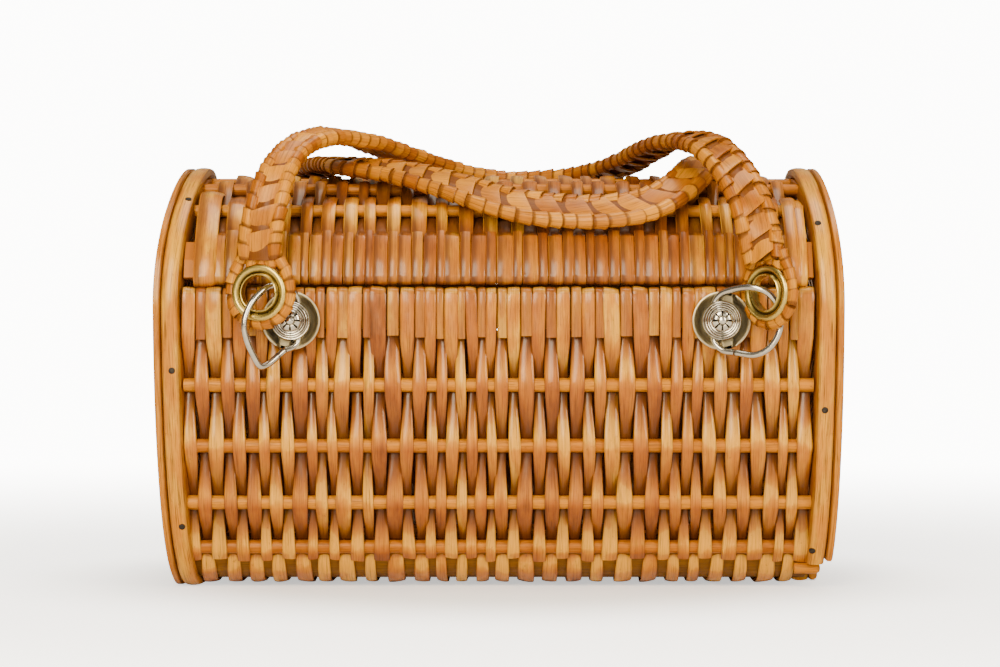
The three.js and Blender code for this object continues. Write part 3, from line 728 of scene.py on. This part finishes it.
body_weave()
lid_weave()
all_rods()
for which in ("front", "back"):
    lath(f"{which}_base_plain_lath", 0.0, up_front(12.4), (4.9, 6.4), which, random.Random(3), 1.5)
lath("back_seam_inner_lath", up_front(127.0), up_front(139.0), (10.8, 11.8), "back", random.Random(9))
hoops()
end_panel("left", -1)
end_panel("right", 1)
nails()
for node_name, material in (("front_rim_lath", olive), ("back_rim_lath", olive), ("lid_front_lath", rods),
                            ("lid_back_lath", rods)):
    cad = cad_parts[node_name]
    cad.data.materials.clear()
    cad.data.materials.append(material)


# ---- plaited handles ----
class Course:
    """A smooth line through points, with a frame along it: sideways and face directions."""

    def __init__(self, points, face, spacing=0.6):
        p = np.array(points, float)
        p = np.concatenate([[2 * p[0] - p[1]], p, [2 * p[-1] - p[-2]]])
        line = []
        for a, b, c, d in zip(p, p[1:], p[2:], p[3:]):
            t1 = np.linalg.norm(b - a) ** 0.5
            t2 = t1 + np.linalg.norm(c - b) ** 0.5
            t3 = t2 + np.linalg.norm(d - c) ** 0.5
            t = np.linspace(t1, t2, 30, endpoint=False)[:, None]

            def ease(u, v, start, end):
                return u * (end - t) / (end - start) + v * (t - start) / (end - start)

            ab, bc, cd = ease(a, b, 0, t1), ease(b, c, t1, t2), ease(c, d, t2, t3)
            line.append(ease(ease(ab, bc, 0, t2), ease(bc, cd, t1, t3), t1, t2))
        line = np.concatenate(line + [p[-2:-1]])
        length = run(line)
        self.length = length[-1]
        self.s = np.linspace(0, self.length, int(self.length / spacing))
        self.p = np.stack([np.interp(self.s, length, line[:, i]) for i in range(3)], 1)
        t = np.gradient(self.p, axis=0)
        t /= np.linalg.norm(t, axis=1)[:, None]
        normal = face(self.p)
        normal -= t * (normal * t).sum(1)[:, None]
        self.normal = normal / np.linalg.norm(normal, axis=1)[:, None]
        self.side = np.cross(t, self.normal)

    def at(self, s, b, n):
        s, b, n = np.broadcast_arrays(np.asarray(s, float), b, n)

        def pick(v):
            return np.stack([np.interp(s, self.s, v[:, i]) for i in range(3)], -1)

        return pick(self.p) + pick(self.side) * b[..., None] + pick(self.normal) * n[..., None]


def always(direction):
    """A face direction that is the same all along a course."""
    def face(p):
        return np.tile(direction, (len(p), 1))
    return face


def lid_face(p):
    """Outward from the lid, with no length of its own."""
    return np.stack([0 * p[:, 0], p[:, 1] / HALF_DEPTH ** 2, (p[:, 2] - WAIST) / RISE ** 2], 1) * 4000


# one turn of splint: place along it in pitches, size and painted shade, darkest in the slits where turns lap
WRAP = ((0.0, 0.80, 1.0), (0.14, 0.86, 1.0), (0.21, 0.89, 0.95), (0.29, 0.93, 0.8), (0.35, 0.95, 0.1),
        (0.6, 0.99, 0.0), (0.90, 1.05, 0.0), (1.04, 1.10, 0.0), (1.10, 1.11, 0.55),
        (1.15, 1.06, 1.0), (1.14, 0.92, 1.0))


def wrap(body, course, s, pitch, b0, n0, size, tilt, rng):
    """One turn of splint round a handle's rolled edge, its end lapping over the next turn."""
    k = 14
    n0 = n0 + rng.uniform(-0.25, 0.25)
    angle = around(k)
    u = np.array([w[0] for w in WRAP])[:, None]
    grow = np.array([w[1] for w in WRAP])[:, None] * rng.uniform(0.96, 1.04)
    # painted shade in the slits under each lapping turn
    dirt_and_shade = np.repeat(np.array([w[2] for w in WRAP])[:, None], k, 1) * 0.85
    s_all = s + pitch * u + tilt * np.cos(angle - 0.6)[None, :]
    b = b0 + size[0] * grow * np.cos(angle)
    n = n0 + size[1] * grow * np.sin(angle)
    loops = course.at(s_all, b, n)
    body.sweep(loops[:, ::-1], angle[:1] + np.arange(len(WRAP)) * 0.8, (angle[::-1] * 3)[None, :],
               (rng.random(), rng.random(), dirt_and_shade))


def shingle(body, course, s, pitch, half, slope, face, rng):
    """One flat splint between the rolled edges, its end lifted over the next."""
    u = np.array([0.0, 0.2, 0.3, 0.42, 0.75, 1.02, 1.12, 1.14, 1.06, 0.6, 0.1])
    n = np.array([0.6, 1.0, 1.25, 1.55, 2.3, 3.0, 3.1, 2.35, 2.2, 1.3, 0.2]) + 0.2
    # painted shade under the lap at each end of the splint
    dirt_and_shade = np.array([1.0, 1.0, 0.6, 0.05, 0.0, 0.0, 0.0, 0.9, 1.0, 1.0, 1.0])
    b = np.linspace(-half, half, 9)
    bulge = 0.5 * (1 - (b / half) ** 2)
    s_all = s + pitch * u[None, :] + slope * b[:, None]
    loops = course.at(s_all, b[:, None], face * (n[None, :] + bulge[:, None] * (n > 1)[None, :]))
    if face > 0:
        loops = loops[:, ::-1]
        u, dirt_and_shade = u[::-1], dirt_and_shade[::-1]
    body.sweep(loops, s + np.arange(9) * 0.01, (u * pitch)[None, :],
               (rng.random(), rng.random(), (dirt_and_shade * 0.8)[None, :]))
    body.grain[-1][:, 0], body.grain[-1][:, 1] = (np.repeat(b, len(u)), np.tile(u * pitch, 9) + s)


def core(body, course, s0, s1, half, thick):
    """The plait's inside, seen only between its turns, painted dark as the shade there."""
    s = np.arange(s0, s1, 3.0)
    section = np.array([(-1, -.6), (-1, .6), (-.7, 1), (.7, 1), (1, .6), (1, -.6), (.7, -1), (-.7, -1)])
    loops = course.at(s[:, None], section[None, :, 0] * half, section[None, :, 1] * thick)
    body.sweep(loops, s, (section[:, 0] * half)[None, :], (0.2, 0.2, 0.9))


def full_width(s):
    """The width of a plait that is even all along."""
    return 1.0


def plaited(course, pieces, seed, edge_pitch, strip_pitch, slope, width=full_width):
    """pieces(z) gives the mesh that a turn at that height belongs to."""
    rng = random.Random(seed)

    def height(s):
        return float(np.interp(s, course.s, course.p[:, 2]))

    for side in (-1, 1):
        s = 0.0
        while s < course.length:
            narrow = width(s)
            pitch = edge_pitch * rng.uniform(0.8, 1.2) * (0.62 + 0.38 * (narrow - 0.7) / 0.3)
            wrap(pieces(height(s)), course, s, pitch, side * 6.3 * narrow, 0.0, (3.15, 3.3),
                 side * rng.uniform(0.3, 1.6), rng)
            s += pitch
    s = 0.0
    while s < course.length:
        pitch = strip_pitch * rng.uniform(0.9, 1.12)
        for face in (1, -1):
            half = 5.6 * width(s)
            shingle(pieces(height(s)), course, s, pitch, half, slope * rng.uniform(0.8, 1.2), face, rng)
        s += pitch


def tab(body, centre, turn, seed, facing, radius=13.2, thick=(2.6, 2.0), rise=-1.1):
    """The handle's end: its rolled edges run round the eyelet."""
    rng = random.Random(seed)
    axis = np.array([math.sin(turn), -math.cos(turn), 0]) * facing
    across = np.array([math.cos(turn), math.sin(turn), 0]) * facing
    shape = [(-6.3, 19), (-7.6, 15.5), (-10.6, 10.8), (-12.8, 4.5)]
    for degrees in (190, 215, 242, 270):
        a = math.radians(degrees)
        shape.append((radius * math.cos(a), radius * math.sin(a)))
    shape += [(-x, z) for x, z in shape[:-1]][::-1]
    points = [centre + across * x + np.array([0, 0, z]) for x, z in shape]
    course = Course(points, always(axis))
    s = 0.0
    while s < course.length - 3:
        pitch = rng.uniform(4.2, 5.8)
        wrap(body, course, s, pitch, 0.0, rise, thick, rng.uniform(-1.2, 1.2), rng)
        s += pitch
    for x in (-3.4, 0.6, 4.2):
        narrowing = ((1.2, 8.6), (1.1, 16.0), (1.0, 27.0))
        upright = Course([centre + across * x * spread + np.array([0, 0, z]) for spread, z in narrowing],
                         always(axis))
        for s in (0.0, 5.8, 11.6):
            wrap(body, upright, s, 5.6, 0.0, -0.8, (2.6, 1.9), rng.uniform(-1.5, 1.5), rng)


FRONT_STRAP = (
    (-98.8, -91.5, 166.5), (-95, -83.5, 180.5), (-89, -69, 191.5), (-79, -51, 198.4), (-64, -27, 199.1),
    (-44, 2, 193.8), (-22, 25, 187), (4, 38, 182.6), (28, 36, 183.6), (48, 26, 187.2),
    (61, 6, 191.8), (74, -26, 197.4), (83, -46, 197.6), (92, -66, 193), (101.5, -83, 180.5),
    (107.6, -91.5, 166.5))
BACK_STRAP = (
    (-101.5, 97, 146.3), (-101.5, 94, 160), (-100, 82, 176.5), (-94, 58, 187), (-86, 32, 189.3),
    (-77, 4, 189.7), (-65, -24, 187), (-46, -38, 184.1), (-22, -53, 177.4), (2, -63.5, 169.2),
    (26, -67.6, 165.3), (50, -67.6, 165.4), (66, -64.6, 168.7), (76, -58, 174), (84, -46, 180.8),
    (91, -24, 187.6), (97, 4, 189.5), (100, 30, 188.8), (101.6, 58, 186), (102, 82, 176.5),
    (101.5, 94, 160), (101.5, 97, 146.3))
EYELET_HEIGHT = 129.3
LEFT_EYELET, RIGHT_EYELET, BACK_EYELET = (-101.5, -93), (114.4, -92.4), (101.5, 97)


def facing(turns=()):
    """The lid's face direction, turning to an eyelet's own near each foot."""
    def face(p):
        base = lid_face(p)
        base /= np.linalg.norm(base, axis=1)[:, None]
        weight = limit((158 - p[:, 2]) / 20)[:, None]
        for x_sign, side, turn in turns:
            own = np.array([math.sin(turn), side * math.cos(turn), 0])
            here = (np.sign(p[:, 0]) == x_sign)[:, None] * weight
            base = base * (1 - here) + own * here
        return base
    return face


def handles():
    """Both plaited handles; near its feet the front one's face turns towards its eyelets."""
    left, right = math.radians(-15), math.radians(-48)
    points = [(-101.5, -93, 143), (-101.3, -93, 152), *FRONT_STRAP, (110.6, -92.4, 155), (113.4, -92.4, 143)]
    front = Course(points, facing(((-1, -1, left), (1, -1, right))))
    legs, arch = Body(), Body()

    def leg_or_arch(z):
        return legs if z < 157 else arch

    def slim(s):
        return 0.7 + 0.3 * min(1.0, max(0.0, abs(s - 62) / 40 - 0.25))

    plaited(front, leg_or_arch, 41, 6.4, 10.5, 0.45, slim)
    core(legs, front, 0, 17, 6.2, 2.2)
    core(legs, front, front.length - 18, front.length, 6.2, 2.2)
    core(arch, front, 17, front.length - 18, 4.2, 2.2)
    tab(legs, np.array([*LEFT_EYELET, EYELET_HEIGHT]), left, 2, 1)
    tab(legs, np.array([*RIGHT_EYELET, EYELET_HEIGHT]), right, 3, 1)
    nodes = [f"front_{end}_{kind}" for end in ("left", "right") for kind in ("tab", "leg")]
    lower = legs.make("front_tabs_plait", plait, "plaited_straw", None, nodes, smooth=50)
    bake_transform(lower)
    upper = arch.make("front_handle_plait", plait, "plaited_straw", None, ["front_handle"], smooth=50)
    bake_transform(upper)
    x, y = BACK_EYELET
    points = [(-x, y, 143), *BACK_STRAP[1:-1], (x, y, 143)]
    back = Course(points, facing())
    whole = Body()

    def all_one(z):
        return whole

    plaited(back, all_one, 57, 6.6, 12.6, 0.5)
    core(whole, back, 0, back.length, 6.2, 2.2)
    tab(whole, np.array([-x, y, EYELET_HEIGHT]), math.radians(15), 4, -1, 12.4, (2.1, 1.6), 0.6)
    tab(whole, np.array([x, y, EYELET_HEIGHT]), math.radians(-15), 5, -1, 12.4, (2.1, 1.6), 0.6)
    piece = whole.make("back_handle_plait", plait, "plaited_straw", None,
                       ["back_handle", "back_left_tab", "back_right_tab"], smooth=50)
    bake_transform(piece)


# ---- metal fittings ----
def lathe(body, profile, centre, out, segments=72, shape=None):
    """profile: radius, height and dirt. shape may change radius, height and dirt by angle."""
    out = np.array(out, float)
    side = np.cross(out, (0, 0, 1.0))
    angle = around(segments)
    profile = np.array(profile, float)
    r = np.repeat(profile[:, :1], segments, 1)
    h = np.repeat(profile[:, 1:2], segments, 1)
    dirt_and_shade = np.repeat(profile[:, 2:3], segments, 1)
    if shape:
        r, h, dirt_and_shade = shape(r, h, dirt_and_shade, np.broadcast_to(angle, r.shape))
    loops = (np.asarray(centre, float) + (r * np.cos(angle))[..., None] * side
             + (r * np.sin(angle))[..., None] * np.array([0, 0, 1.0]) + h[..., None] * out)
    body.sweep(loops, profile[:, 1], (angle * 5)[None, :], (0.5, 0.5, limit(dirt_and_shade)), caps=False)


CUP = ((2.0, 0, 0.4), (9.4, 0, 0.2), (11.3, 1.2, 0), (12.4, 2.8, 0), (12.6, 3.8, 0), (12.4, 4.2, 0),
       (12.0, 4.3, 0), (11.6, 4.1, 0.0), (10.9, 3.1, 0.05), (10.1, 2.1, 0.1), (9.2, 1.5, 0.2),
       (8.4, 1.3, 0.35), (6, 1.3, 0.6), (2.0, 1.25, 0.9))


def cup_notches(bar_x):
    """The wire's two ways out of the cup, above and below."""
    def shape(r, h, dirt_and_shade, angle):
        near = limit((3.1 - np.abs(r * np.cos(angle) - bar_x)) / 0.9) * (r > 7)
        return r, h * (1 - near) + np.minimum(h, 1.2) * near, dirt_and_shade + near * 0.5
    return shape


def rosette(r, h, dirt_and_shade, angle):
    """Eight petals round a small middle, inside fine rings."""
    on_petals = limit((r - 1.9) / 0.3) * limit((4.6 - r) / 0.3) * (h > 4.9)
    valley = 1 - limit(np.abs(np.sin(angle * 4)) * 2.2)
    ball = np.sqrt(limit(1 - ((r - 3.2) / 1.5) ** 2))
    rise = 0.55 * ball * (1 - valley) * on_petals
    on_rings = (r > 4.9) & (h > 4.9)
    notch = on_rings * valley * 0.3
    return r, h + rise - 0.3 * on_petals * valley, dirt_and_shade + on_petals * (valley + 0.3 * (1 - ball)) + notch


def dome_profile():
    """The boss: a rimmed dome on a shank through the rim, with its head inside."""
    rows = [(0.05, 9.75, 0.0), (1.0, 9.7, 0.0), (1.5, 9.5, 0.1), (1.75, 9.1, 0.9)]
    for r in np.linspace(2.0, 8.5, 48):
        h = 4.9 + 4.1 * (1 - (r / 8.8) ** 2) ** 0.85
        ring = 0.5 - 0.5 * math.cos((r - 4.75) / 0.94 * 2 * math.pi) if r > 4.75 else 1.0
        rows.append((r, h - 0.34 * (1 - ring) - 0.15 * (r < 4.75), 0.95 * (1 - ring) ** 1.5))
    rows += [(8.55, 4.7, 0.2), (8.4, 4.35, 0.6), (1.4, 4.3, 0.9), (1.4, -7.9, 0.6), (3.4, -8.1, 0.2),
             (3.3, -8.9, 0.1), (0.05, -9.1, 0.1)]
    return rows


EYELET = [(7.6, 0.0, 0.35), (7.45, 1.2, 0.25), (7.5, 2.0, 0.1), (7.6, 2.45, 0.0), (7.8, 2.5, 0.0),
          (8.2, 2.2, 0.25), (8.5, 1.7, 0.9), (8.9, 1.4, 1.0), (9.3, 1.5, 0.8), (9.8, 1.95, 0.1),
          (10.4, 2.2, 0.0), (11.1, 2.15, 0.0), (11.8, 1.8, 0.0), (12.2, 1.2, 0.05), (12.3, 0.4, 0.4)]
EYELET_RING = EYELET + [(r, -h, d) for r, h, d in EYELET[::-1] if h] + [EYELET[0]]

LEFT_RING = ((6.5, -12.6), (2, -11), (0, -8.5), (0, -3), (0, 3), (0, 9), (3, 13.2), (9, 15.2), (14, 14.6),
             (18.6, 11.8), (23.6, 6.4), (26.3, -0.6), (25.2, -8), (21.8, -15), (18.4, -19.4), (14.8, -18.6),
             (10.5, -15.6), (7, -13))
RIGHT_RING = ((9, -13.6), (3.4, -12.6), (0, -9), (0, -3), (0, 3), (0, 8), (3, 11.4), (9, 13.4, -0.6),
              (16, 14.2, -1.5), (20.4, 13.6, -1.1), (24.1, 11.8, 0), (27.4, 7.6, 1.6), (29.2, 1, 2.4),
              (28.2, -6, 1.8), (24.4, -11.8, 0.8), (18.6, -14.6), (9.5, -13.7))
BACK_RING = ((7.5, -12.9), (2.4, -11.2), (0, -8.5), (0, -3), (0, 3), (0, 9), (3, 13.4), (9.5, 16), (16, 15.6),
             (21.3, 11.8), (26, 6), (28.4, -0.8), (27, -8.2), (23.2, -15), (19.5, -19.4), (15.6, -18.8),
             (11, -15.8), (7.9, -13.6))
BOSS_HEIGHT, BAR_OFFSET, WIRE = 117.5, 3.0, 1.42
WALL_FACE = float(at(up_front(BOSS_HEIGHT), 2.5)[0])


def fitting(side, end, boss_x, eyelet, turn, course):
    """A boss, its ring and the eyelet hung on it. side -1 is the front."""
    name = f"{'front' if side < 0 else 'back'}_{end}"
    outward = 1 if eyelet[0] > 0 else -1
    face_y = side * abs(WALL_FACE - 0.3)
    cup = Body()
    local_bar = -outward * BAR_OFFSET
    lathe(cup, CUP, (boss_x, face_y, BOSS_HEIGHT), (0, side, 0), 96, cup_notches(local_bar * -side))
    cup.make(f"{name}_rim_cup", pressed, "bright_metal", "root", [f"{name}_cup"])
    dome = Body()
    lathe(dome, dome_profile(), (boss_x, face_y, BOSS_HEIGHT), (0, side, 0), 96, rosette)
    dome.make(f"{name}_rosette", steel, "bright_metal", "root", [f"{name}_domed_rivet"])

    bar = np.array([boss_x - outward * BAR_OFFSET, side * (abs(WALL_FACE) + 0.6 + 1.2 + 1.25), BOSS_HEIGHT])
    reach = np.array([eyelet[0] - bar[0], eyelet[1] - bar[1], 0])
    reach /= np.linalg.norm(reach)
    bend = np.cross((0, 0, 1.0), reach)
    points = []
    for p in course:
        sideways = p[2] if len(p) > 2 else 0
        points.append(bar + reach * p[0] + np.array([0, 0, p[1]]) + bend * sideways)
    line = Course(points, always(bend), 0.5)
    angle = around(16)
    loops = line.at(line.s[:, None], WIRE * np.cos(angle)[None, :], WIRE * np.sin(angle)[None, :])
    joint = bar + reach * 9.6 + np.array([0, 0, -15.0])
    butt = np.linalg.norm(line.p - joint, axis=1)
    butt = np.abs(line.s - line.s[np.argmin(butt)])
    ring = Body()
    seam = (limit(1 - butt / 0.8) * 0.9)[:, None]
    ring.sweep(loops, line.s, (angle * 1.3)[None, :], (0.5, 0.5, seam))
    ring.make(f"{name}_wire_ring", steel, "bright_metal", f"{name}_d_ring", [f"{name}_d_ring"])

    hole = Body()
    out = (math.sin(turn), side * math.cos(turn), 0)
    lathe(hole, EYELET_RING, (*eyelet, EYELET_HEIGHT), out, 96)
    hole.make(f"{name}_stepped_eyelet", brass, "eyelet_brass", "root" if side < 0 else "back_tabs",
              [f"{name}_eyelet"])


def fittings():
    """All four fittings: front left and right, back right and left."""
    x, y = BACK_EYELET
    fitting(-1, "left", -89.0, LEFT_EYELET, math.radians(-15), LEFT_RING)
    fitting(-1, "right", 95.5, RIGHT_EYELET, math.radians(-48), RIGHT_RING)
    fitting(1, "right", 89.0, (x, y), math.radians(15), BACK_RING)
    fitting(1, "left", -89.0, (-x, y), math.radians(-15), BACK_RING)


def hinge_rings():
    """The two cane rings round the back laths that hinge the lid."""
    seam = at(up_back(133.5), 6.5)
    for end, x in (("left", -62.0), ("right", 62.0)):
        made = Body()
        turn = around(48)
        angle = around(12)
        radius = 8 + 1.2 * np.cos(angle)[None, :]
        loops = np.empty((48, 12, 3))
        loops[..., 0] = x + 1.3 * np.sin(angle)
        loops[..., 1] = seam[0] + radius * np.cos(turn)[:, None]
        loops[..., 2] = seam[1] + radius * np.sin(turn)[:, None]
        made.sweep(loops, turn * 8, (angle * 1.2)[None, :], (0.4, 0.4, 0.1), closed_along=True)
        made.make(f"hinge_ring_cane_{end}", rods, "pale_willow", "root", [f"hinge_ring_{end}"])


handles()
fittings()
hinge_rings()


# ---- the room ----
# the floor's glow, painted light seen only by the camera and kept dim near the basket as a painted shadow:
# distance where it starts to change and ends, and its strength there
FLOOR_GLOW = ((0.10, 0.24, 0.8, 3.0), (0.2, 1.3, 0.0, 9.0))


def studio():
    """Floor and wall, light and camera."""
    scene = bpy.context.scene
    mesh = bpy.data.meshes.new("floor")
    points, faces = [], []
    profile = [(-9.0, 0.0), (1.8, 0.0)]
    for i in range(1, 13):
        a = math.pi / 2 * i / 12
        profile.append((1.8 + 0.8 * math.sin(a), 0.8 - 0.8 * math.cos(a)))
    profile.append((2.6, 7.0))
    for y, z in profile:
        points += [(-9.0, y, z), (9.0, y, z)]
    for i in range(len(profile) - 1):
        faces.append((2 * i, 2 * i + 1, 2 * i + 3, 2 * i + 2))
    mesh.from_pydata(points, [], faces)
    mesh.shade_smooth()
    floor = add("floor", mesh)
    look = Look("pale_floor")
    away = look.node("VectorMath", "Value", {0: look.node("TexCoord", "Object")}, operation="LENGTH")
    steps = []
    for start, end, low, high in FLOOR_GLOW:
        limits = {"Value": away, "From Min": start, "From Max": end, "To Min": low, "To Max": high}
        steps.append(look.node("MapRange", 0, limits, interpolation_type="SMOOTHSTEP"))
    # painted light: the floor glows for camera rays only, dimmest near the basket where its shadow falls
    seen = look.node("LightPath", "Is Camera Ray")
    glow = look.math("MULTIPLY", look.math("ADD", *steps), seen)
    look.surface({"Base Color": (0.84, 0.82, 0.79, 1), "Roughness": 0.65, "Emission Strength": glow,
                  "Emission Color": (1.0, 0.985, 0.955, 1)})
    mesh.materials.append(look.material)
    world = bpy.data.worlds.new("soft_room")
    scene.world = world
    world.use_nodes = True
    world.node_tree.nodes["Background"].inputs["Color"].default_value = (1.0, 0.90, 0.76, 1)
    world.node_tree.nodes["Background"].inputs["Strength"].default_value = 0.24
    for name, place, size, power, tint in (
            ("key", (-0.3, -1.38, 0.78), (0.5, 1.15), 34, (1, 0.86, 0.62)),
            ("fill", (0.85, -1.15, 0.62), (0.3, 0.8), 15, (1, 0.87, 0.64)),
            ("front", (0.15, -1.7, 0.35), (0.8, 0.8), 2, (1, 0.93, 0.82)),
            ("top", (0.1, 0.0, 1.3), (0.7, 0.7), 11, (1, 0.91, 0.76))):
        light = bpy.data.lights.new(name, "AREA")
        light.shape = "RECTANGLE"
        light.size, light.size_y = size
        light.energy, light.color = power, tint
        lamp = add(name, light)
        lamp.location = place
        lamp.rotation_euler = (Vector((0, 0, 0.1)) - lamp.location).to_track_quat("-Z", "Y").to_euler()
    camera = bpy.data.cameras.new("camera")
    camera.lens, camera.sensor_width = 101.0, 36.0
    camera.clip_end = 20
    holder = add("camera", camera)
    holder.location = (0.0006, -1.285, 0.112)
    holder.rotation_euler = (math.pi / 2, 0, 0)
    scene.camera = holder


studio()
